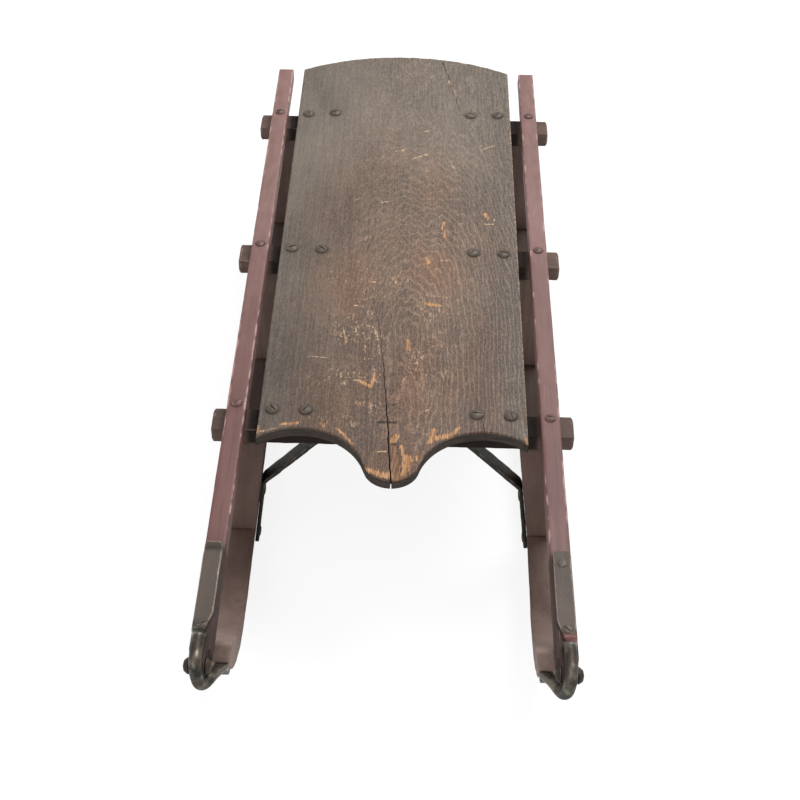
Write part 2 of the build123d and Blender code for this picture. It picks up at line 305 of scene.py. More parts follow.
@dataclass(frozen=True)
class WornDeck:
    """Dark stain on a plain-sawn board, with raised grain, specks, raw wood and dark sawn walls."""

    top: float
    grey: Shades = (tint(66, 59, 52), tint(148, 137, 125))
    brown: Shades = (tint(74, 52, 38), tint(162, 125, 99))
    cream: Shades = (tint(206, 178, 148), tint(176, 138, 106))
    orange: Shades = (tint(142, 100, 68), tint(204, 156, 108))
    pink: Shades = (tint(88, 63, 46), tint(148, 110, 82))
    wall: Shades = (tint(36, 28, 22), tint(64, 51, 42))
    # Near-black colour of the painted shade in cracks, dents and rings round the screws.
    hole: Colour = tint(20, 15, 12)
    ring: float = 4.4 * MM
    pith: float = 16 * MM
    # The board is drawn darker towards darkest and paler towards palest, as painted sheen.
    darkest: float = DATUM - 70 * MM
    palest: float = DATUM + 560 * MM

    def material(self) -> Material:
        """Build the material; it reads the attributes warm, marks, pink, orange, cream and groove.

        Returns:
            The board's material.
        """
        board = Board("worn_deck")
        across, along, up = board.axes()
        fibre = board.grain((780.0, 13.0, 300.0), 3.0, 0.0, 0.6)
        ticks = board.grain((460.0, 130.0, 300.0), 3.0, -4.0, 0.65)
        pores = board.grain((820.0, 330.0, 400.0), 2.0, 2.0, 0.7)
        patch = board.grain((11.0, 5.0, 5.0), 4.0)
        marks = board.attribute("marks")
        rings = self._rings(board) * (0.2 + across.rise(-0.08, 0.04) * 0.8)
        rings = rings * (0.6 + along.rise(self.palest, DATUM + 300 * MM) * 0.4)
        calm = 0.55 + across.rise(-0.11, -0.02) * 0.45
        streak = fibre.rise(0.36, 0.66) * 0.16 + ticks.rise(0.42, 0.66) * calm * 0.16
        streak = streak + pores.rise(0.38, 0.64) * calm * 0.34 + rings * 0.33
        streak = streak * 0.9 + patch.rise(0.3, 0.7) * 0.18 + (1.0 - calm) * 0.2 - 0.04
        # Painted sheen: the streak tone is lifted towards the tail and lowered towards the nose.
        streak = streak - along.rise(self.palest, self.darkest) * 0.25 + marks * 0.1
        blush = board.grain((17.0, 7.0, 6.0), 4.0).rise(0.38, 0.66)
        warm = board.attribute("warm") * (0.6 + blush * 0.4)
        dark, light = (board.mix(warm, cool, hot) for cool, hot in zip(self.grey, self.brown))
        colour = board.mix(streak, dark, light)
        fray = board.grain((900.0, 110.0, 300.0), 3.0, 0.0, 0.6)
        nicks = board.grain((300.0, 260.0, 300.0), 3.0, 20.0, 0.7)
        vein = board.grain((700.0, 45.0, 200.0), 3.0, 2.0).rise(0.36, 0.64)
        spot = board.grain((120.0, 90.0, 90.0), 1.0).rise(0.4, 0.6)
        raw = self._specks(board) * marks
        colour = board.mix(raw * 0.72, colour, board.mix(spot, *self.cream))
        layers = (("pink", self.pink, fray), ("orange", self.orange, fray), ("cream", self.cream, nicks))
        for name, shades, ragged in layers:
            worn = (board.attribute(name) + (ragged - 0.5) * 1.7).rise(0.42, 0.66)
            colour = board.mix(worn * 0.85, colour, board.mix(vein, *shades))
            raw = raw.most(worn)
        side = 1.0 - up.rise(self.top - 3.4 * MM, self.top - 1.9 * MM)
        saw = board.grain((60.0, 60.0, 420.0), 3.0).rise(0.35, 0.7)
        colour = board.mix(side, colour, board.mix(saw, *self.wall))
        # Painted shade: the cracks, their lips, the dents and the rings round the screws are drawn near
        # black.
        colour = board.mix(board.attribute("groove"), colour, self.hole)
        height = rings * 0.5 + fibre * 0.3 + ticks * 0.6 + pores * 0.3 - raw * 0.5
        return board.finish({
            "Base Color": colour,
            "Specular IOR Level": 0.36,
            "Roughness": 0.46 + fibre * 0.14 + raw * 0.2,
            "Normal": board.bump(height, 0.3 * MM, 0.5),
        })

    def _rings(self, board: Board) -> Signal:
        """Draw the year rings as nested arches that point to the tail.

        Args:
            board: The material's board.

        Returns:
            1 on a ring's late wood, 0 between rings.
        """
        across, along, _ = board.axes()
        beside = across - self.pith
        waver = board.grain((14.0, 4.0, 4.0), 3.0)
        rise = along.rise(-0.12, 0.3) * 0.09 + 0.03 + (waver - 0.5) * 0.06
        radius = (beside * beside + rise * rise) ** 0.5
        wander = board.grain((60.0, 12.0, 9.0), 4.0, 0.0, 0.6)
        rings = (radius / self.ring + wander * 3.0).fraction()
        return (1.0 - abs(rings * 2.0 - 1.0)).rise(0.6, 1.0)

    def _specks(self, board: Board) -> Signal:
        """Scatter specks, nicks and short scratches in bands across the board.

        Args:
            board: The material's board.

        Returns:
            1 on a speck, 0 elsewhere.
        """
        band = board.grain((18.0, 34.0, 30.0), 3.0).rise(0.46, 0.62)
        specks = board.grain((260.0, 120.0, 300.0), 2.0, 8.0).rise(0.635, 0.7)
        cuts = ((430.0, 120.0, -24.0), (560.0, 80.0, 3.0), (340.0, 60.0, -8.0), (300.0, 300.0, 30.0))
        for wide, long, turn in cuts:
            specks = specks.most(board.grain((wide, long, 300.0), 1.5, turn).rise(0.65, 0.71))
        return specks * band


@dataclass(frozen=True)
class WornPaint:
    """Paint on timber, rubbed through along the edges, with streaks along its length."""

    name: str
    coat: Colour
    faded: Colour
    deep: Colour
    rubbed: Colour
    wood: Colour
    # Soiling colour; on the beams and runners it is the colour of painted shade.
    grime_and_shade: Colour
    rubbing: float
    roughness: float = 0.5
    gloss: float = 0.4
    run: int = 1
    streaks: float = 0.5

    def _stretch(self, wide: float, long: float) -> Colour:
        """Give a noise's features per metre along X, Y and Z, with the grain along the piece's run."""
        return tuple(long if axis == self.run else wide for axis in range(3))

    def material(self) -> Material:
        """Build the paint's material; it reads the edge attribute and the attributes for rubbing with painted
        sheen and for soiling with painted shade.

        Returns:
            The material.
        """
        board = Board(self.name)
        cloud = board.grain(self._stretch(22.0, 7.0), 4.0)
        fibre = board.grain(self._stretch(420.0, 16.0), 3.0)
        band = board.grain(self._stretch(150.0, 2.6), 3.0)
        fray = board.grain(self._stretch(130.0, 45.0), 4.0)
        nick = board.grain(self._stretch(260.0, 170.0), 3.0)
        spell = board.grain(self._stretch(30.0, 9.0), 3.0, 0.0, 0.7).rise(0.36, 0.62)
        scratch = board.grain(self._stretch(700.0, 30.0), 2.0, 3.0).rise(0.69, 0.74) * cloud.rise(0.45, 0.6)
        # This attribute lays painted sheen on the rails and runners, paler towards the rails' tails and the
        # horns' noses.
        worn = board.attribute("rub")
        edge = board.attribute("edge") * (0.62 + spell * 0.5)
        # Soiling on the rails, and painted shade on the beams and the runners under the deck.
        dirt = board.attribute("dirt") * (0.8 + fray * 0.2)
        rub = (edge * self.rubbing + (fray - 0.5) * 0.9).rise(0.45, 0.7)
        chip = (edge * self.rubbing + (nick - 0.5) * 1.9).rise(0.96, 1.08)
        streaks = (1.0 - worn * 0.85) * self.streaks
        colour = board.mix(cloud.rise(0.3, 0.7), self.coat, self.faded)
        layers = (
            (band.rise(0.46, 0.68) * streaks, self.deep),
            (fibre.rise(0.56, 0.72) * streaks, self.deep),
            (worn * (0.62 + fray.rise(0.3, 0.7) * 0.3), self.rubbed),
            (dirt, self.grime_and_shade),
            (rub * 0.8, self.rubbed),
            (chip, self.wood),
            (scratch * 0.5, self.rubbed),
        )
        for amount, shade in layers:
            colour = board.mix(amount, colour, shade)
        return board.finish({
            "Base Color": colour,
            "Specular IOR Level": self.gloss,
            "Roughness": self.roughness + fibre * 0.12 + chip * 0.15 + dirt * 0.25,
            "Normal": board.bump(fibre * 0.5 + cloud * 0.6 - chip * 0.5, 0.3 * MM, 0.5),
        })


@dataclass(frozen=True)
class WroughtIron:
    """Hammered black iron with brown bloom, remains of paint, and edges brightened by rubbing and by painted
    highlight.
    """

    name: str
    scale: Colour = tint(50, 48, 43)
    bloom: Colour = tint(84, 66, 54)
    bright: Colour = tint(134, 128, 117)
    paint: Colour = tint(88, 75, 67)
    # Colour of the painted highlight along the strap's edges and its lifted lip.
    rim: Colour = tint(158, 140, 130)
    stain: Colour = tint(120, 72, 70)
    # Colour of the painted shadow in the crease before the strap's lifted end.
    crease: Colour = tint(34, 30, 27)
    polish: float = 0.75

    def material(self) -> Material:
        """Build the iron's material; it reads the edge attribute, the attributes for rubbing and for old
        paint, stain, and crease, which is a painted shadow.

        Returns:
            The material.
        """
        board = Board(self.name)
        edge, old, dirt, stain, crease = map(board.attribute, ("edge", "rub", "dirt", "stain", "crease"))
        cloud = board.grain((60.0, 40.0, 60.0), 4.0)
        pits = board.grain((380.0, 300.0, 380.0), 3.0)
        hammer = board.grain((95.0, 60.0, 95.0), 1.0)
        smear = board.grain((90.0, 14.0, 90.0), 4.0).rise(0.35, 0.65)
        wear = edge * self.polish + old * 0.42
        rub = (wear + (pits - 0.5) * 0.4 + (hammer - 0.5) * 0.9).rise(0.3, 0.75)
        coat = dirt * (1.0 - rub * 0.7)
        outline = (edge + (pits - 0.5) * 0.7).rise(0.42, 0.85)
        colour = board.mix(cloud.rise(0.42, 0.68) * 0.6, self.scale, self.bloom)
        layers = (
            # Polished iron, lightened also as painted highlight in place of the bars' reflections.
            (rub * 0.8, self.bright),
            (coat * (0.6 + smear * 0.4), self.paint),
            # Painted highlight along the strap's outline and lifted lip.
            (dirt * outline * 0.75, self.rim),
            (stain * (0.4 + smear * 0.6), self.stain),
            # Painted shadow in the crease before the lifted end.
            (crease, self.crease),
        )
        for amount, shade in layers:
            colour = board.mix(amount, colour, shade)
        return board.finish({
            "Base Color": colour,
            "Metallic": (0.6 + rub * 0.35) * (1.0 - coat * 0.85),
            "Roughness": 0.46 + pits * 0.2 - rub * 0.26 + coat * 0.1,
            "Normal": board.bump(pits * 0.45 + hammer * 0.9, 0.45 * MM, 0.6),
        })


def placed(name: str, data: ID) -> Object:
    """Put an object in the scene.

    Args:
        name: The object's name.
        data: Its mesh, lamp or camera.

    Returns:
        The new object.
    """
    thing = bpy.data.objects.new(name, data)
    bpy.context.scene.collection.objects.link(thing)
    return thing


def new_piece(name: str, mesh: Mesh, material: Material) -> Object:
    """Put a mesh in the scene as a piece that rides on the sled.

    Args:
        name: The piece's name.
        mesh: Its mesh, already in place.
        material: The material to wear.

    Returns:
        The new object.
    """
    piece = placed(name, mesh)
    mesh.materials.clear()
    mesh.materials.append(material)
    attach(piece, BODY)
    log.info("%s: %d faces", name, len(mesh.polygons))
    return piece


def store(mesh: Mesh, name: str, values: Array) -> None:
    """Store one number at each point of a mesh, as a named attribute."""
    layer = mesh.attributes.new(name, "FLOAT", "POINT")
    layer.data.foreach_set("value", np.asarray(values, dtype=np.float32))


def smooth(mesh: Mesh, sharp: float) -> None:
    """Shade a mesh smooth, apart from edges that turn by more than an angle in degrees."""
    mesh.polygons.foreach_set("use_smooth", [True] * len(mesh.polygons))
    mesh.set_sharp_from_angle(angle=math.radians(sharp))


def plain_mesh(holder: Object) -> Mesh:
    """Apply a helper object's modifiers, and remove the helper.

    Args:
        holder: The object.

    Returns:
        A plain mesh of the result.
    """
    graph = bpy.context.evaluated_depsgraph_get()
    mesh = bpy.data.meshes.new_from_object(holder.evaluated_get(graph))
    bpy.data.objects.remove(holder)
    return mesh


class Weathering(Enum):
    """How far a piece's faces wander from true, in metres."""

    SAWN = 0.35 * MM
    PLANED = 0.2 * MM
    FORGED = 0.25 * MM


@dataclass
class AgedPiece:
    """A CAD node remade with softened corners, uneven faces and a record of where it is worn."""

    node: str
    material: Material
    seed: float
    slot: str = "frame_wood"
    cell: float = 2.0 * MM
    weathering: Weathering = Weathering.SAWN
    reach: float = 3.5 * MM
    sharp: float = 24.0
    shade_angle: float = 60.0
    edge_step: float = 1.5 * MM
    swells_per_metre: Colour = (45, 16, 45)

    def build(self) -> Object:
        """Remake the node, dress it and put it in the node's place.

        Returns:
            The finished piece.
        """
        mesh, edge_points = self._remade()
        points, nearness = self._worn(mesh, edge_points)
        mesh.vertices.foreach_set("co", points.ravel())
        mesh.update()
        self.dress(mesh, points, nearness)
        smooth(mesh, self.shade_angle)
        piece = new_piece(f"{self.node}_worn", mesh, self.material)
        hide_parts(self.node)
        return piece

    def dress(self, mesh: Mesh, points: Array, nearness: Array) -> None:
        """Store what the material reads: nearness to an edge, rubbing and painted sheen, and soiling and
        painted shade.

        Args:
            mesh: The remade mesh.
            points: Its points.
            nearness: 1 on an edge of the node, falling to 0 away from it.
        """
        store(mesh, "edge", nearness)
        store(mesh, "rub", self.rub(points))
        store(mesh, "dirt", self.dirt(points))

    def rub(self, points: Array) -> Array:
        """Give how far each point is drawn pale, by rubbing and by painted sheen, from 0 to 1."""
        return np.zeros(len(points))

    def dirt(self, points: Array) -> Array:
        """Give how much each point is covered by soiling, old paint and painted shade, from 0 to 1."""
        return np.zeros(len(points))

    def bend(self, points: Array) -> Array:
        """Give how far each point is bent away from true, as vectors."""
        return np.zeros_like(points)

    def _remade(self) -> tuple[Mesh, KDTree]:
        """Remesh a merged copy of the node in even cells.

        Returns:
            The new mesh, and a search tree of points on the node's sharp edges.
        """
        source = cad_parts[self.node].data.copy()
        shape = bmesh.new()
        shape.from_mesh(source)
        bmesh.ops.remove_doubles(shape, verts=shape.verts, dist=0.01 * MM)
        edge_points = self._edge_points(shape)
        shape.to_mesh(source)
        shape.free()
        holder = placed("holder", source)
        remesh = holder.modifiers.new("cells", "REMESH")
        remesh.mode = "VOXEL"
        remesh.voxel_size = self.cell
        return plain_mesh(holder), edge_points

    def _edge_points(self, shape: bmesh.types.BMesh) -> KDTree:
        """Sample the node's sharp edges.

        Args:
            shape: The merged node.

        Returns:
            A search tree of points on the edges.
        """
        points = []
        for edge in shape.edges:
            if len(edge.link_faces) == 2 and edge.calc_face_angle() > math.radians(self.sharp):
                start, end = (vert.co for vert in edge.verts)
                steps = max(1, int(edge.calc_length() / self.edge_step))
                points.extend(start.lerp(end, step / steps) for step in range(steps + 1))
        tree = KDTree(len(points))
        for number, point in enumerate(points):
            tree.insert(point, number)
        tree.balance()
        return tree

    def _worn(self, mesh: Mesh, edge_points: KDTree) -> tuple[Array, Array]:
        """Move the points a little along their normals, most at the edges.

        Args:
            mesh: The remade mesh.
            edge_points: Points on the sharp edges.

        Returns:
            The points' new places inside the node's box, and their nearness to an edge.
        """
        count = len(mesh.vertices)
        points, normals = np.empty(count * 3), np.empty(count * 3)
        mesh.vertices.foreach_get("co", points)
        mesh.vertex_normals.foreach_get("vector", normals)
        points, normals = points.reshape(-1, 3), normals.reshape(-1, 3)
        distance = np.array([edge_points.find(point)[2] for point in points])
        nearness = np.exp(-distance / self.reach)
        offset = Vector((self.seed, -self.seed, 0.5 * self.seed))
        move = np.empty(count)
        for number, spot in enumerate(points * self.swells_per_metre):
            spot = Vector(spot) + offset
            swell = noise.noise(spot) + 0.5 * noise.noise(spot * 3.1)
            lost = nearness[number] * max(0.0, noise.noise(spot * 1.7 + offset)) * 1.6
            move[number] = self.weathering.value * (swell - 1.2 * lost - 0.9)
        moved = points + normals * move[:, None] + self.bend(points)
        low, high = (np.array(corner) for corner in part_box(self.node))
        return np.clip(moved, low, high), nearness


@dataclass
class Rail(AgedPiece):
    """A painted side rail, dark with handling beside its strap and drawn paler towards the tail as painted
    sheen.
    """

    cell: float = 1.6 * MM
    slot: str = "rail_paint"
    weathering: Weathering = Weathering.PLANED
    reach: float = 1.6 * MM
    sharp: float = 6.0
    # Strength of the painted sheen towards the tail.
    fade: float = 0.3
    strap_end: float = DATUM - 173 * MM

    def dress(self, mesh: Mesh, points: Array, nearness: Array) -> None:
        """Store the wear and the painted sheen, with little rubbing of the edges beside the strap."""
        super().dress(mesh, points, nearness * (1 - 0.75 * self.dirt(points)))

    def rub(self, points: Array) -> Array:
        """Give the painted sheen that makes the rail paler towards the tail."""
        return self.fade * (0.06 + 0.94 * ease(points[:, 1], DATUM - 100 * MM, DATUM + 450 * MM))

    def dirt(self, points: Array) -> Array:
        """Give the dark brown stretch beside the strap."""
        return 0.95 * ease(points[:, 1], self.strap_end + 4 * MM, self.strap_end - 10 * MM)


@dataclass
class Beam(AgedPiece):
    """A cross beam, drawn black with painted shade between its ends, under the deck and in the gaps beside
    it.
    """

    cell: float = 1.4 * MM
    # Half width across, inside which the beam is drawn dark as painted shade.
    shade_half_width: float = 152 * MM

    def dirt(self, points: Array) -> Array:
        """Give the painted shade under the deck and in the gaps beside it."""
        return ease(np.abs(points[:, 0]), self.shade_half_width + 4 * MM, self.shade_half_width - 4 * MM)


@dataclass
class Runner(AgedPiece):
    """A runner plank, drawn paler towards the nose of its horn as painted sheen."""

    # pale_from and pale_to bound the painted sheen along the horn.
    pale_from: float = DATUM - 110 * MM
    pale_to: float = DATUM - 285 * MM

    def rub(self, points: Array) -> Array:
        """Give the painted sheen that makes the horn paler towards its nose."""
        return 0.82 * ease(points[:, 1], self.pale_from, self.pale_to)

    def dirt(self, points: Array) -> Array:
        """Give the painted shade behind the front posts, where the runners lie under the deck and rails."""
        return 0.55 * ease(points[:, 1], DATUM + 20 * MM, DATUM + 60 * MM)


@dataclass
class Iron(AgedPiece):
    """A forged piece of iron."""

    slot: str = "iron"
    cell: float = 1.3 * MM
    weathering: Weathering = Weathering.FORGED
    reach: float = 1.5 * MM


@dataclass
class Shoe(Iron):
    """An iron shoe: bright at the nose and beneath, with old paint and a lifted end on its strap."""

    cell: float = 1.5 * MM
    lift: float = 0.0
    stained: float = 0.0
    strap_end: float = DATUM - 172.5 * MM
    strap_front: float = DATUM - 280 * MM
    nose: float = DATUM - 286 * MM
    taper: float = 5 * MM
    thickness: float = 3 * MM

    def dress(self, mesh: Mesh, points: Array, nearness: Array) -> None:
        """Store the wear, with a painted highlight along the strap's outline and lip, a painted shadow in the
        crease before the lip, and the rail's paint at its front.

        Args:
            mesh: The remade mesh.
            points: Its points.
            nearness: 1 on an edge of the node, falling to 0 away from it.
        """
        place, along, up = np.abs(points[:, 0]), points[:, 1], points[:, 2]
        back, strap, lifted = self.strap_end - along, self.on_strap(points), self.lift > 0
        inner, outer = self.sides(points)
        gap = np.minimum(place - inner - self.taper * self.narrowing(points), outer - place)
        gap = np.clip(np.minimum(gap, back), 0, None)
        # Painted highlight along the strap's outline and on its lifted lip, stored as edge nearness.
        rim = 0.95 * bell(gap, 1.9 * MM) * strap * (up > RAIL_TOP + self.thickness / 2)
        rim = np.maximum(rim, bell(back - 1 * MM, 1.6 * MM) * lifted)
        super().dress(mesh, points, np.maximum(nearness, rim))
        # Painted shadow in the crease before the strap's lifted end.
        crease = bell(back - 7 * MM, 2 * MM) * ease(gap, 0.5 * MM, 4 * MM)
        store(mesh, "crease", 0.75 * crease * lifted * strap)
        front = ease(along, self.strap_front + 12 * MM, self.strap_front + 4 * MM)
        front = front * ease(along, self.nose - 4 * MM, self.nose + 4 * MM)
        store(mesh, "stain", self.stained * front * (up > RAIL_TOP + 1 * MM))

    def on_strap(self, points: Array) -> Array:
        """Give 1 on the strap and 0 on the bar and the sole."""
        behind = ease(points[:, 1], self.strap_front, self.strap_front + 18 * MM)
        return behind * (points[:, 2] > RAIL_TOP - 2 * MM)

    def rub(self, points: Array) -> Array:
        """Give the polish of the bar and of the sole's tread."""
        return np.maximum(ease(points[:, 1], self.nose + 8 * MM, self.nose - 8 * MM), points[:, 2] < 2 * MM)

    def dirt(self, points: Array) -> Array:
        """Give the old paint on the strap, thinned in its dip so that the dark scale shows there as painted
        shade.
        """
        worn = bell(self.strap_end - points[:, 1] - 8 * MM, 2.6 * MM) * (self.lift > 0)
        return 0.9 * self.on_strap(points) * (1 - 0.3 * worn)

    def bend(self, points: Array) -> Array:
        """Bend the strap's end up, with a dip before it, and narrow its front to the bar.

        Args:
            points: The shoe's points.

        Returns:
            The points' moves.
        """
        back = self.strap_end - points[:, 1]
        lip = bell(back - 1.5 * MM, 2.5 * MM) - 1.1 * bell(back - 8 * MM, 3.4 * MM)
        inner, outer = self.sides(points)
        share = np.clip((outer - np.abs(points[:, 0])) / (outer - inner), 0, 1)
        moves = np.zeros_like(points)
        moves[:, 0] = np.sign(points[:, 0]) * self.taper * share * self.narrowing(points)
        moves[:, 2] = self.lift * lip * self.on_strap(points)
        return moves

    def sides(self, points: Array) -> Place:
        """Give the strap's inner and outer place across, behind its taper."""
        behind = (self.on_strap(points) > 0.95) & (points[:, 1] > self.strap_front + 40 * MM)
        return np.abs(points[behind, 0]).min(), np.abs(points[behind, 0]).max()

    def narrowing(self, points: Array) -> Array:
        """Give how far the strap has narrowed at each point.

        Args:
            points: The shoe's points.

        Returns:
            1 where the strap meets the bar, 0 behind.
        """
        front = ease(points[:, 1], self.strap_front + 26 * MM, self.strap_front + 3 * MM)
        front *= ease(points[:, 1], self.strap_front - 4 * MM, self.strap_front - 1 * MM)
        return front * (points[:, 2] > RAIL_TOP - 1.2 * MM)


@dataclass
class Crack:
    """A split in the deck: its knots from the thin end to the wide end, and its size at both ends."""

    knots: list[Place]
    widths: Place
    depths: Place
    spread: float
    fade: float = 90 * MM

    COLUMNS: ClassVar[Array] = np.array([-2.6, -1.6, -1.0, -0.4, 0.4, 1.0, 1.6, 2.6]) * MM
    LIPS: ClassVar[tuple[int, int]] = (2, 5)
    GROOVE: ClassVar[tuple[int, int]] = (3, 4)
    ROOM: ClassVar[float] = 3.2 * MM

    @property
    def home(self) -> float:
        """Give the crack's middle place across the deck."""
        places = [knot[0] for knot in self.knots]
        return (min(places) + max(places)) / 2

    def line(self, along: Array) -> Array:
        """Give the crack's line; before its thin end it runs out to its middle.

        Args:
            along: Lengths along the deck.

        Returns:
            Places across the deck.
        """
        start = self.knots[0][1]
        run_out = (self.home, start + math.copysign(self.fade, start - self.knots[-1][1]))
        places, lengths = zip(*sorted([run_out, *self.knots], key=lambda knot: knot[1]))
        jitter = np.sin(along / (7.3 * MM)) + np.sin(along / (3.1 * MM) + 1)
        return np.interp(along, lengths, places) + 0.25 * MM * jitter

    def lip(self, number: int, along: Array) -> Array:
        """Give the places of one of the crack's four inner columns.

        Args:
            number: The column's number, of the lips or of the groove between them.
            along: Lengths along the deck.

        Returns:
            Places across the deck.
        """
        part, least = (0.2, 0.05 * MM) if number in self.GROOVE else (0.5, 0.12 * MM)
        side = -1 if number < self.GROOVE[1] else 1
        return self.line(along) + side * np.maximum(part * self.at(along)[0], least)

    def at(self, along: Array) -> tuple[Array, Array, Array]:
        """Give the crack's size, which grows from its thin end.

        Args:
            along: Lengths along the deck.

        Returns:
            Widths, depths, and 1 where the crack is or 0 where it isn't.
        """
        start, end = self.knots[0][1], self.knots[-1][1]
        share = (along - start) / (end - start)
        live = (share > 0).astype(float)
        held = np.clip(share, 0, 1) ** 1.5
        width, depth = (live * (thin + (wide - thin) * held) for thin, wide in (self.widths, self.depths))
        return width, depth, live


Seams = list[tuple[int, Crack, int]]


@dataclass
class Grid:
    """The deck's top by row and column: places, the board's ends beside them, and the cracks' columns."""

    across: Array
    along: Array
    front: Array
    back: Array
    seams: Seams


@dataclass
class DeckBoard:
    """The deck: one board with a crowned tail, an ogee nose, splits and worn edges.

    The tables are in millimetres from the front beam's face. A split's row has its knots, its widths and
    depths at both ends and how far it bends the grid, a stroke's row has its start and end, each across
    and along, and its half width, and a dent's row has its place across and along, its half sizes, its
    depth and the darkness of the shade painted in it.
    """

    nose_radius: float = 29 * MM
    nose_reach: float = 79 * MM
    scallop_place: float = 95 * MM
    scallop_reach: float = 7 * MM
    crown: float = 38 * MM
    column_step: float = 1.7 * MM
    front_step: float = 1.5 * MM
    rear_step: float = 2.3 * MM
    front_length: float = 220 * MM
    notch: float = 7 * MM
    shade_angle: float = 50.0
    # Radius and width of the painted contact shadow ring around each deck screw.
    screw_ring: float = 6.4 * MM
    screw_ring_width: float = 2.3 * MM

    MAIN_SPLIT: ClassVar[Table] = (
        (-39, 285), (-30, 229), (-26, 193), (-18, 150), (-13, 100),
        (-8, 37), (-4.5, -8), (-2, -51), (0.7, -79),
    )
    SPLITS: ClassVar[tuple] = (
        (MAIN_SPLIT, (0.1, 1.5), (0.6, 12.6), 48),
        (((74, 600), (61, 670), (48, 737)), (0.3, 0.9), (0.8, 6.0), 32),
        (((82, 64), (88, 40), (95.3, -8)), (0.1, 0.5), (0.6, 4.0), 17),
    )
    ORANGE: ClassVar[Table] = (
        (-37, 66, -25, 58, 2.4), (-25, 58, -21, 76, 2.0), (-24, -66, -8, -72, 3.4), (-8, -72, -1, -72, 4.5),
        (-58, -7, -49, -17, 1.6), (-49, -17, -41, -29, 1.6), (1, -24, 4, -17, 3.6), (4, -14, 4, -23, 1.8),
        (10, -31, 12, -43, 2.2), (15, -47, 15, -61, 4.0), (12, -70, 16, -64, 3.6), (19, -45, 21, -52, 1.6),
        (25, -45, 26, -50, 1.8), (39, -24, 43, -6, 3.4), (43, -18, 59, -15, 3.8), (59, -15, 69, -2, 2.2),
        (-139, -6, -139, -17, 1.8), (-137, -15, -120, -9, 1.0), (-115, -3, -99, -1, 2.0),
        (-74, 0, -71, -5, 1.8), (138, -15, 138, -25, 1.6), (103, 372, 105, 363, 2.8), (33, 281, 35, 273, 2.8),
        (13, 134, 15, 119, 2.4), (31, 198, 47, 195, 2.6), (53, 353, 51, 339, 2.0), (53, 337, 55, 321, 1.4),
    )
    CREAM: ClassVar[Table] = (
        (-44, 152, -29, 169, 0.7), (-23, 391, -11, 394, 1.2), (-57, 394, -51, 398, 1.1),
        (-20, 282, -11, 284, 0.7), (-34, 236, -16, 233, 1.0), (-12, 232, -3, 228, 0.8),
        (-48, 192, -33, 190, 1.3), (7, 199, 29, 201, 0.9), (36, 278, 56, 278, 1.1), (99, 351, 112, 351, 1.1),
        (112, 351, 114, 362, 1.1), (-25, 17, -20, 21, 0.9), (-16, -40, -6, -39, 1.1), (33, 21, 39, 26, 1.0),
        (-34, 127, -32, 110, 1.0), (-22, 155, -17, 110, 0.9), (-10, 502, 2, 506, 1.5),
        (12, 486, 31, 497, 1.4), (61, 482, 69, 453, 1.3), (27, 549, 35, 553, 1.2), (69, 348, 76, 353, 1.2),
        (99, 509, 118, 522, 1.1), (59, 676, 69, 637, 1.1), (-93, 104, -73, 102, 0.9),
    )
    DENTS: ClassVar[Table] = (
        (-6, 4, 10.5, 1.4, 0.9, 0.95), (-0.5, 30.5, 1.6, 1.4, 0.7, 0.9), (1, -28.5, 4, 0.8, 0.4, 0.6),
    )

    def __post_init__(self) -> None:
        """Take the board's box from the frame, and lay out its splits."""
        self.low, self.high = (Vector(corner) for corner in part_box("deck"))
        self.half = self.high.x
        self.tail = self.high.y - self.crown
        self.cracks = []
        for knots, widths, depths, spread in self.SPLITS:
            places = [(across * MM, DATUM + along * MM) for across, along in knots]
            sizes = [tuple(value * MM for value in pair) for pair in (widths, depths)]
            self.cracks.append(Crack(places, *sizes, spread * MM))

    def build(self) -> Object:
        """Build the board and put it in the CAD board's place.

        Returns:
            The finished piece.
        """
        piece = new_piece("deck_board", self.mesh(), WornDeck(self.high.z).material())
        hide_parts("deck")
        return piece

    def front(self, across: Array) -> Array:
        """Give the front edge's length at each place across: a round nose between two scallops.

        Args:
            across: Places across the deck.

        Returns:
            Lengths of the front edge.
        """
        nose = -self.nose_reach + self.nose_radius
        depth = -self.scallop_reach - nose
        radius = (self.scallop_place**2 + depth**2 - self.nose_radius**2) / (2 * (depth + self.nose_radius))
        centre = -self.scallop_reach - radius
        turn = self.nose_radius * self.scallop_place / math.hypot(self.scallop_place, centre - nose)
        place = np.abs(across)
        round_nose = nose - np.sqrt(np.maximum(self.nose_radius**2 - place**2, 0))
        scallop = centre + np.sqrt(np.maximum(radius**2 - (place - self.scallop_place) ** 2, 0))
        return DATUM + np.where(place < turn, round_nose, scallop)

    def back(self, across: Array) -> Array:
        """Give the crowned, slightly ragged tail.

        Args:
            across: Places across the deck.

        Returns:
            Lengths of the tail edge.
        """
        radius = (self.half**2 + self.crown**2) / (2 * self.crown)
        ragged = 0.35 * MM * (1 + np.sin(across / (1.9 * MM)) * np.sin(across / (4.7 * MM)))
        return self.tail + self.crown - radius + np.sqrt(radius**2 - across**2) - ragged

    def mesh(self) -> Mesh:
        """Build the board as a closed skin over a grid that bends along the cracks.

        Returns:
            The board's mesh with its wear attributes.
        """
        columns, seams = self._columns()
        rows = self._rows()[:, None]
        across = np.repeat(columns[None, :], len(rows), axis=0)
        for _ in range(5):
            front, back = self.front(across), self.back(across)
            across = self._bent(columns, seams, front + (back - front) * rows)
        front, back = self.front(across), self.back(across)
        for column, crack, number in seams:
            if number in Crack.GROOVE and crack is self.cracks[0]:
                front[:, column] += self.notch
        grid = Grid(across, front + (back - front) * rows, front, back, seams)
        return self._skin(grid, *self._heights(grid))

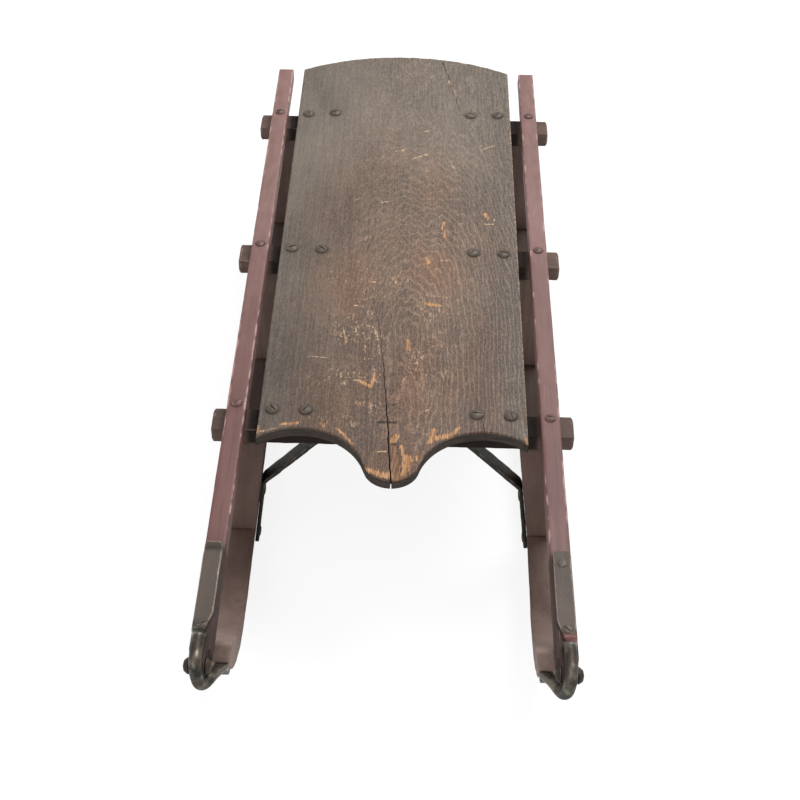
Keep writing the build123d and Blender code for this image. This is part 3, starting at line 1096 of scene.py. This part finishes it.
    def _bent(self, columns: Array, seams: Seams, along: Array) -> Array:
        """Bend the columns so that they follow the cracks.

        Args:
            columns: The columns' places before bending.
            seams: Columns that belong to a crack, with their number in it.
            along: Lengths, by row and column.

        Returns:
            Places across, by row and column.
        """
        across = np.repeat(columns[None, :], len(along), axis=0)
        for crack in self.cracks:
            hold = ease(np.abs(columns - crack.home), crack.spread, 0.0)
            across = across + (crack.line(along) - crack.home) * hold[None, :]
        for column, crack, number in seams:
            if number in Crack.LIPS + Crack.GROOVE:
                across[:, column] = crack.lip(number, along[:, column])
        return np.clip(across, -self.half, self.half)

    def _columns(self) -> tuple[Array, Seams]:
        """Lay out the columns: even steps, finer at the sides and at the nose's flanks, eight for a crack.

        Returns:
            The columns' places, and the columns that belong to a crack with their number in it.
        """
        rim = np.array([0.0, 0.4, 0.9, 1.6]) * MM
        flank = np.arange(20, 33, 1.0) * MM
        even = np.arange(-self.half, self.half + self.column_step / 2, self.column_step)
        places = np.concatenate([even, self.half - rim, rim - self.half, flank, -flank])
        for crack in self.cracks:
            places = places[np.abs(places - crack.home) > Crack.ROOM]
            places = np.concatenate([places, crack.home + Crack.COLUMNS])
        columns = np.unique(np.round(places, 6))
        seams = []
        for crack in self.cracks:
            for number, offset in enumerate(Crack.COLUMNS):
                seams.append((int(np.argmin(np.abs(columns - crack.home - offset))), crack, number))
        return columns, seams

    def _rows(self) -> Array:
        """Lay out the rows, finer towards both ends and in the front part.

        Returns:
            The rows' shares of the length.
        """
        length = self.high.y - self.low.y
        rim = np.array([0.0, 0.4, 0.9, 1.6, 2.6]) * MM
        fine = np.arange(rim[-1] + self.front_step, self.front_length, self.front_step)
        coarse = np.arange(self.front_length, length - 4 * MM, self.rear_step)
        return np.concatenate([rim, fine, coarse, length - rim[::-1]]) / length

    def _heights(self, grid: Grid) -> tuple[Array, Array]:
        """Give the top's heights: gentle waves, worn rims, a lost sliver, dents and the cracks' grooves.

        Args:
            grid: The deck's grid.

        Returns:
            Heights, and how dark the painted shade in the cracks and dents is at each point, from 0 to 1.
        """
        across, along, front = grid.across, grid.along, grid.front
        spots = np.stack([across, along], axis=-1).reshape(-1, 2)
        waves = np.array([noise.noise(Vector((x * 18, y * 6, 3.0))) for x, y in spots]).reshape(across.shape)
        chips = np.array([noise.noise(Vector((x * 70, y * 70, 7.0))) for x, y in spots]).reshape(across.shape)
        rim = (1.2 + 0.9 * chips) * MM
        slope = np.gradient(front, axis=1) / np.maximum(np.gradient(across, axis=1), 1e-7)
        from_nose = (along - front) / np.sqrt(1 + np.clip(slope, -4, 4) ** 2)
        near = np.minimum.reduce([self.half - np.abs(across), from_nose, grid.back - along])
        near = np.clip(near, 0, None)
        inside = np.clip(rim - near, 0, rim)
        top = self.high.z - 0.4 * MM + 0.35 * MM * waves - (rim - np.sqrt(rim**2 - inside**2))
        top -= 0.9 * MM * self._sliver(across, along)
        # Painted shade, darkest in the cracks and dents.
        groove = np.zeros_like(across)
        for place, length, wide, tall, depth, dark in self.DENTS:
            inner = ease(np.abs(across - place * MM), (wide + 1) * MM, (wide - 0.8) * MM)
            inner = inner * ease(np.abs(along - DATUM - length * MM), (tall + 0.9) * MM, (tall - 0.6) * MM)
            top -= depth * MM * inner
            groove = np.maximum(groove, dark * inner)
        for column, crack, number in grid.seams:
            width, depth, live = crack.at(along[:, column])
            if number in Crack.LIPS:
                top[:, column] -= 0.25 * width
                groove[:, column] = 0.3 * np.clip(width / (1.2 * MM), 0, 1)
            if number in Crack.GROOVE:
                top[:, column] -= np.minimum(depth, top[:, column] - self.low.z - 0.5 * MM)
                groove[:, column] = live * np.clip(width / (0.4 * MM), 0, 1)
        return top, groove

    def _sliver(self, across: Array, along: Array) -> Array:
        """Show where a sliver has split off beside the crack at the nose.

        Args:
            across: Places across the deck.
            along: Lengths along the deck.

        Returns:
            1 in the sliver's bed, 0 elsewhere.
        """
        length = along - DATUM
        beside = across - self.cracks[0].line(along)
        width = 7.5 * MM - 0.07 * (length + 28 * MM)
        bed = ease(beside, 0.6 * MM, 1.4 * MM) * ease(beside - width, 0.9 * MM, -0.9 * MM)
        return bed * ease(length, -27 * MM, -29 * MM)

    def _skin(self, grid: Grid, top: Array, groove: Array) -> Mesh:
        """Close the top with walls and a flat bottom, and store the wear and the painted shade.

        Args:
            grid: The deck's grid.
            top: Heights of the top.
            groove: How dark the painted shade in the cracks and dents is at each point.

        Returns:
            The closed mesh.
        """
        index = np.arange(top.size).reshape(top.shape)
        ring = np.concatenate([index[0, :-1], index[:-1, -1], index[-1, :0:-1], index[:0:-1, 0]])
        points = np.stack([grid.across, grid.along, top], axis=-1).reshape(-1, 3)
        floor = points[ring].copy()
        floor[:, 2] = self.low.z
        foot = top.size + np.arange(len(ring))
        quads = np.stack([index[:-1, :-1], index[:-1, 1:], index[1:, 1:], index[1:, :-1]], axis=-1)
        walls = np.stack([ring, foot, np.roll(foot, -1), np.roll(ring, -1)], axis=-1)
        faces = quads.reshape(-1, 4).tolist() + walls.tolist() + [foot[::-1].tolist()]
        mesh = bpy.data.meshes.new("deck_board")
        mesh.from_pydata(np.concatenate([points, floor]).tolist(), [], faces)
        smooth(mesh, self.shade_angle)
        across, along, _ = points.T
        wear = self._wear(across, along - DATUM)
        wear["groove"] = groove.ravel()
        # Painted contact shadow: a dark ring on the deck around each screw head.
        for place in Fastenings().deck():
            gap = np.hypot(across - place.spot.x, along - place.spot.y)
            ring_shadow = 0.6 * bell(gap - self.screw_ring, self.screw_ring_width)
            wear["groove"] = np.maximum(wear["groove"], ring_shadow)
        for name, values in wear.items():
            store(mesh, name, np.concatenate([values, np.zeros(len(ring))]))
        return mesh

    @staticmethod
    def _strokes(table: Table, across: Array, along: Array) -> Array:
        """Show where strokes have taken the stain off.

        Args:
            table: The strokes' rows.
            across: Places across the deck.
            along: Lengths from the front beam's face.

        Returns:
            1 in a stroke's middle, 0 away from it.
        """
        amount = np.zeros_like(across)
        for row in table:
            start_x, start_y, end_x, end_y, width = (value * MM for value in row)
            run_x, run_y = end_x - start_x, end_y - start_y
            beside_x, beside_y = across - start_x, along - start_y
            share = np.clip((beside_x * run_x + beside_y * run_y) / (run_x**2 + run_y**2), 0, 1)
            gap = np.hypot(beside_x - share * run_x, beside_y - share * run_y)
            amount = np.maximum(amount, bell(gap, 1.25 * width))
        return amount

    def _wear(self, across: Array, along: Array) -> dict[str, Array]:
        """Give the board's wear: where it is brown, greyer towards the tail partly as painted sheen, where it
        is marked and where the wood is raw.

        Args:
            across: Places across the deck.
            along: Lengths from the front beam's face.

        Returns:
            Values from 0 to 1 by attribute name.
        """
        # Brown in the middle and at the front; the greying towards the tail is partly painted sheen.
        warm = bell(across - 8 * MM, 122 * MM, 4) * (0.22 + 0.78 * ease(along, 620 * MM, 240 * MM))
        lean = across - 40 * MM * ease(along, 120 * MM, 460 * MM)
        marks = 0.05 + 0.95 * bell(lean + 10 * MM, 78 * MM, 4) * bell(along - 150 * MM, 170 * MM, 4)
        marks = np.maximum(marks, 0.6 * fall(np.hypot(across - 30 * MM, along - 480 * MM), 45 * MM))
        from_nose = along - self.front(across) + DATUM
        orange = np.maximum(0.2 * fall(from_nose, 2 * MM), 0.84 * self._strokes(self.ORANGE, across, along))
        tail = fall(self.back(across) - DATUM - along, 3 * MM)
        side = fall(self.half - np.abs(across), 1.5 * MM)
        swing = across / (6.1 * MM) + 2.6 * np.sin(across / (17 * MM) + 0.4)
        chips = 0.5 + 0.5 * np.sin(swing) * np.sin(across / (23 * MM) + 1.3)
        beside = across - self.cracks[0].line(along + DATUM)
        chipped = np.exp(-np.abs(beside - 1.4 * MM) / (1.0 * MM))
        chipped = chipped * ease(along, 250 * MM, 190 * MM) * ease(along, 30 * MM, 80 * MM)
        pale = (0.72 * side * (across > 0), 1.15 * tail * chips, 0.42 * chipped)
        cream = np.maximum.reduce([*pale, 0.7 * self._strokes(self.CREAM, across, along)])
        nose = ease(along, 0.0, -45 * MM) + 0.5 * fall(from_nose, 9 * MM)
        pink = np.maximum(0.8 * self._sliver(across, along + DATUM), 0.4 * np.clip(nose, 0, 1))
        return {"warm": warm, "marks": marks, "orange": orange, "cream": cream, "pink": pink}


@dataclass
class ScrewPlace:
    """Where a screw's head sits, which way it faces, how its slot is turned and how big it is."""

    spot: Vector
    facing: Vector
    turn: float
    size: float = 1.0


@dataclass
class ScrewSet:
    """Round-headed slotted screws, set by geometry nodes on a list of places."""

    name: str
    places: list[ScrewPlace]
    material: Material
    head_height: float
    head_width: float = 14.5 * MM
    slot_width: float = 2.0 * MM
    slot_depth: float = 1.7 * MM
    block: float = 100 * MM
    sunk: float = 0.4 * MM
    segments: int = 28
    shade_angle: float = 38.0

    def sizes(self) -> dict[str, float]:
        """Give the head's sizes by the names of the recipe's inputs."""
        names = ("head_width", "head_height", "slot_width", "slot_depth")
        return {name.replace("_", " ").title(): getattr(self, name) for name in names}

    def recipe(self) -> Recipe:
        """Write the recipe that sets a slotted dome on each point.

        Returns:
            The recipe, with inputs for the head's sizes and its material.
        """
        sizes = dict.fromkeys(self.sizes(), "NodeSocketFloat")
        recipe = Recipe(self.name, {**sizes, "Material": "NodeSocketMaterial"})
        wide, tall, slot_wide, slot_deep = (recipe.given(size) for size in sizes)
        round_ball = {"Segments": self.segments, "Rings": self.segments // 2, "Radius": 0.5}
        ball = recipe.add("GeometryNodeMeshUVSphere", inputs=round_ball)
        dome = recipe.moved(ball, Scale=recipe.vector(wide, wide, tall * 2.0))
        bar_size = recipe.vector(wide * 1.4, slot_wide, slot_deep * 2.0)
        cubes = (bar_size, (self.block,) * 3)
        bar, block = (recipe.add("GeometryNodeMeshCube", inputs={"Size": size}) for size in cubes)
        slot = recipe.moved(bar, Translation=recipe.vector(0.0, 0.0, tall))
        below = recipe.moved(block, Translation=(0.0, 0.0, -self.block / 2 - self.sunk))
        cut = {"Mesh 1": dome, "Mesh 2": [slot, below]}
        turn = recipe.named("turn", "FLOAT_VECTOR")
        heads = recipe.add("GeometryNodeInstanceOnPoints", inputs={
            "Points": recipe.given("Geometry"),
            "Instance": recipe.add("GeometryNodeMeshBoolean", {"operation": "DIFFERENCE"}, cut),
            "Rotation": recipe.add("FunctionNodeEulerToRotation", inputs={0: turn}),
            "Scale": recipe.named("size", "FLOAT"),
        })
        real = recipe.add("GeometryNodeRealizeInstances", inputs={0: heads})
        worn = {"Geometry": real, "Material": recipe.given("Material")}
        recipe.add("NodeGroupOutput", inputs={0: recipe.add("GeometryNodeSetMaterial", inputs=worn)})
        return recipe

    def build(self) -> Object:
        """Set the screws and join them to one mesh.

        Returns:
            The finished piece.
        """
        points = bpy.data.meshes.new(f"{self.name}_points")
        points.from_pydata([tuple(place.spot) for place in self.places], [], [])
        turns = points.attributes.new("turn", "FLOAT_VECTOR", "POINT")
        for number, place in enumerate(self.places):
            spin = Matrix.Rotation(place.turn, 3, "Z")
            facing = place.facing.to_track_quat("Z", "Y").to_matrix()
            turns.data[number].vector = (facing @ spin).to_euler()
        store(points, "size", np.array([place.size for place in self.places]))
        mesh = self.recipe().run(points, {**self.sizes(), "Material": self.material})
        mesh.name = self.name
        smooth(mesh, self.shade_angle)
        store(mesh, "edge", self._edges(mesh))
        return new_piece(self.name, mesh, self.material)

    @staticmethod
    def _edges(mesh: Mesh) -> Array:
        """Mark the points on a sharp edge of the heads.

        Args:
            mesh: The heads.

        Returns:
            1 on a sharp edge, less elsewhere.
        """
        edge = np.full(len(mesh.vertices), 0.3)
        for line, mark in zip(mesh.edges, mesh.attributes["sharp_edge"].data):
            if mark.value:
                edge[list(line.vertices)] = 1.0
        return edge


@dataclass
class Fastenings:
    """All the sled's screws: on the deck, on the rails and straps, and on the braces."""

    splay: float = math.radians(7.2)
    brace_thickness: float = 5 * MM

    def build(self) -> None:
        """Set the four kinds of screws, each in the colour of what it holds."""
        deck = WornPaint(
            "deck_screw", tint(80, 69, 60), tint(98, 86, 76), tint(46, 39, 33), tint(150, 138, 124),
            tint(180, 168, 150), tint(40, 35, 30), 0.55, 0.42,
        )
        rail = WornPaint(
            "rail_screw", tint(88, 62, 57), tint(108, 80, 74), tint(56, 40, 36), tint(170, 140, 128),
            tint(196, 180, 164), tint(44, 34, 30), 0.6, 0.4,
        )
        strap = WornPaint(
            "strap_screw", tint(78, 66, 59), tint(92, 79, 71), tint(56, 47, 41), tint(136, 122, 112),
            tint(160, 148, 136), tint(40, 35, 30), 0.5, 0.42,
        )
        sets = (
            ("deck_screws", self.deck(), deck, 3.6),
            ("rail_screws", self.rails(), rail, 3.6),
            ("strap_screws", self.straps(), strap, 2.0),
            ("brace_screws", self.braces(), WroughtIron("screw_iron"), 1.4),
        )
        for name, places, finish, height in sets:
            ScrewSet(name, places, finish.material(), height * MM).build()

    def middles(self) -> list[float]:
        """Give the beams' middle lengths."""
        boxes = [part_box(f"beam_{beam}") for beam in BEAMS]
        return [(low[1] + high[1]) / 2 for low, high in boxes]

    def rail_middle(self) -> float:
        """Give the right rail's middle place across."""
        low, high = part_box("rail_right")
        return (low[0] + high[0]) / 2

    def deck(self) -> list[ScrewPlace]:
        """Give four screws through the deck into each beam.

        Returns:
            The screws' places.
        """
        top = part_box("deck")[1][2] - 0.4 * MM
        drifts = ((3, 3, 2, 1), (-6, -7, -7, -8), (0, 4, 5, 6))
        places = []
        for middle, row in zip(self.middles(), drifts):
            for across, drift in zip((-126, -91, 87.5, 123), row):
                spot = Vector((across * MM, middle + drift * MM, top))
                places.append(ScrewPlace(spot, UP, 1.9 * len(places) + 2.3))
        return places

    def rails(self) -> list[ScrewPlace]:
        """Give one screw through each rail into each beam.

        Returns:
            The screws' places.
        """
        places = []
        for middle, row in zip(self.middles(), ((5, -6), (-5, -6), (-5, -2))):
            for side, drift in zip((-1, 1), row):
                spot = Vector((side * self.rail_middle(), middle + drift * MM, RAIL_TOP - 0.2 * MM))
                places.append(ScrewPlace(spot, UP, 2.3 * len(places) + 0.6, 0.85))
        return places

    def straps(self) -> list[ScrewPlace]:
        """Give the screws that hold the straps onto the rails.

        Returns:
            The screws' places.
        """
        across, top = self.rail_middle() + 1 * MM, RAIL_TOP + 2.7 * MM
        table = ((-1, -271, 0.5), (1, -267, 2.4), (1, -189, 1.3))
        return [
            ScrewPlace(Vector((side * across, DATUM + along * MM, top)), UP, turn, 0.72)
            for side, along, turn in table
        ]

    def braces(self) -> list[ScrewPlace]:
        """Give two screws in each brace's foot and one in its flange.

        Returns:
            The screws' places.
        """
        places = []
        for beam, middle in zip(BEAMS, self.middles()):
            for side, sign in zip(SIDES, (-1, 1)):
                low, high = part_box(f"brace_{beam}_{side}")
                inner, outer = sorted((abs(low[0]), abs(high[0])))
                outer -= self.brace_thickness / math.cos(self.splay)
                facing = Vector((-sign * math.cos(self.splay), 0, -math.sin(self.splay)))
                for height in (14 * MM, 82 * MM):
                    across = sign * (outer - height * math.tan(self.splay) + 0.2 * MM)
                    spot = Vector((across, middle, low[2] + height))
                    places.append(ScrewPlace(spot, facing, 0.7 * len(places), 0.8))
                spot = Vector((sign * (inner + 11 * MM), middle, high[2] - self.brace_thickness + 0.2 * MM))
                places.append(ScrewPlace(spot, -UP, 0.7 * len(places), 0.8))
        return places


@dataclass
class Studio:
    """The pale floor, the soft light and the camera at the photograph's angle."""

    eye: tuple[float, float, float] = (19.1 * MM, -1113.8 * MM, 1091.5 * MM)
    yaw: float = -0.61
    pitch: float = 43.13
    roll: float = 1.02
    lens: float = 67.5
    sensor: float = 36.0
    room: float = 0.66
    floor_reach: float = 9.0
    floor_glow: float = 0.86

    def build(self) -> None:
        """Set up camera, floor and light."""
        for part in (self.camera, self.floor, self.light):
            part()

    def camera(self) -> None:
        """Stand the camera where the photograph was taken, measured from the front beam's top edge."""
        low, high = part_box("beam_front")
        data = bpy.data.cameras.new("camera")
        data.lens = self.lens
        data.sensor_width = self.sensor
        data.sensor_fit = "HORIZONTAL"
        data.clip_end = 50.0
        camera = placed("camera", data)
        camera.matrix_world = Matrix.Translation(Vector(self.eye) + Vector((0.0, low[1], high[2])))
        for angle, axis in ((-self.yaw, "Z"), (90 - self.pitch, "X"), (self.roll, "Z")):
            camera.matrix_world = camera.matrix_world @ Matrix.Rotation(math.radians(angle), 4, axis)
        bpy.context.scene.camera = camera

    def floor(self) -> None:
        """Lay a pale floor under the shoes, with a faint shadow from above and clear from below."""
        mesh = bpy.data.meshes.new("floor")
        reach = self.floor_reach
        corners = [(-reach, -reach, 0.0), (reach, -reach, 0.0), (reach, reach, 0.0), (-reach, reach, 0.0)]
        mesh.from_pydata(corners, [], [(0, 1, 2, 3)])
        board = Board("pale_floor")
        seen = board.add("ShaderNodeLightPath", out="Is Camera Ray")
        white, pale, dark = ((grey, grey, grey, 1.0) for grey in (1.0, 0.9, 0.2))
        matt, faint = (board.add("ShaderNodeBsdfDiffuse", inputs={"Color": grey}) for grey in (pale, dark))
        glow = board.add("ShaderNodeEmission", inputs={"Color": white, "Strength": self.floor_glow})
        shown = board.add("ShaderNodeAddShader", inputs={0: faint, 1: glow})
        above = board.add("ShaderNodeMixShader", inputs={0: seen, 1: matt, 2: shown})
        clear = board.add("ShaderNodeBsdfTransparent")
        below = board.add("ShaderNodeNewGeometry", out="Backfacing") * seen
        both = board.add("ShaderNodeMixShader", inputs={0: below, 1: above, 2: clear})
        mesh.materials.append(board.close(both))
        placed("floor", mesh)

    def light(self) -> None:
        """Light the sled from a bright room, with one large soft lamp behind and a weak one in front."""
        scene = bpy.context.scene
        scene.world = bpy.data.worlds.new("room")
        scene.world.use_nodes = True
        back = scene.world.node_tree.nodes["Background"]
        back.inputs["Color"].default_value = (1.0, 1.0, 1.0, 1.0)
        back.inputs["Strength"].default_value = self.room
        lamps = (
            ("key", (0.8, 1.0, 2.4), (0.0, 0.0, 0.1), 1.4, 52.0),
            ("fill", (-1.0, -1.8, 2.2), (0.0, -0.1, 0.1), 1.6, 12.0),
        )
        for name, spot, target, size, power in lamps:
            data = bpy.data.lights.new(name, "AREA")
            data.size = size
            data.energy = power
            aim = Vector(target) - Vector(spot)
            turn = aim.to_track_quat("-Z", "Y").to_matrix().to_4x4()
            placed(name, data).matrix_world = Matrix.Translation(spot) @ turn
        scene.view_settings.view_transform = "Standard"


@dataclass
class Undercarriage:
    """The beams, the posts and the runners, in dark paint."""

    # Its sixth colour, near black, is the painted shade on the beams and runners under the deck.
    paint: WornPaint = WornPaint(
        "dark_frame", tint(86, 67, 60), tint(108, 87, 79), tint(58, 45, 40), tint(148, 126, 116),
        tint(158, 128, 104), tint(15, 11, 8), 0.6, 0.55, 0.24, streaks=0.24,
    )

    def build(self) -> None:
        """Age every timber of the frame, each kind with its grain along its own run."""
        kinds = ("dark_beam", "dark_runner", "dark_post")
        paints = [replace(self.paint, name=kind, run=run).material() for run, kind in enumerate(kinds)]
        beams, runners, posts = paints
        for number, side in enumerate(SIDES):
            Runner(f"runner_{side}", runners, 3.7 * number + 1.0).build()
        for number, beam in enumerate(BEAMS):
            Beam(f"beam_{beam}", beams, 2.9 * number + 11.0).build()
            for turn, side in enumerate(SIDES):
                AgedPiece(f"post_{beam}_{side}", posts, 4.3 * number + 2.1 * turn + 21.0).build()


@dataclass
class Rails:
    """The two side rails, in worn maroon paint."""

    paint: WornPaint = WornPaint(
        "maroon_rail", tint(92, 58, 55), tint(112, 77, 73), tint(68, 42, 40), tint(176, 142, 134),
        tint(204, 178, 156), tint(44, 33, 27), 0.76, 0.45,
    )

    def build(self) -> None:
        """Age both rails."""
        paint = self.paint.material()
        for number, side in enumerate(SIDES):
            # The fade argument sets how strong each rail's painted sheen towards the tail is.
            Rail(f"rail_{side}", paint, 6.1 * number + 2.0, fade=0.34 - 0.01 * number).build()


@dataclass
class Ironwork:
    """The shoes, the braces and the nose pins, in wrought iron."""

    iron: WroughtIron = WroughtIron("wrought_iron")
    pin: WroughtIron = WroughtIron("pin_iron", tint(60, 51, 44), bright=tint(112, 101, 90), polish=0.45)
    lifts: Place = (1.9 * MM, 0.0)
    stains: Place = (0.0, 0.75)

    def build(self) -> None:
        """Age every forged piece."""
        iron, pin = self.iron.material(), self.pin.material()
        for number, side in enumerate(SIDES):
            lift, stained = self.lifts[number], self.stains[number]
            Shoe(f"shoe_{side}", iron, 5.3 * number + 3.0, lift=lift, stained=stained).build()
            Iron(f"nose_pin_{side}", pin, 5.3 * number + 31.0, cell=0.8 * MM).build()
            for turn, beam in enumerate(BEAMS):
                Iron(f"brace_{beam}_{side}", iron, 5.3 * number + 1.9 * turn + 41.0).build()


@dataclass
class Sled:
    """The whole sled."""

    def build(self) -> None:
        """Build every sub-assembly in order."""
        for part in (DeckBoard(), Rails(), Undercarriage(), Ironwork(), Fastenings()):
            log.info("%s", type(part).__name__)
            part.build()


def main() -> None:
    """Build the studio and the sled."""
    logging.basicConfig(level=logging.INFO, format="%(message)s")
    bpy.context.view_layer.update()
    Studio().build()
    Sled().build()
    bpy.context.view_layer.update()


if __name__ == "__main__":
    main()
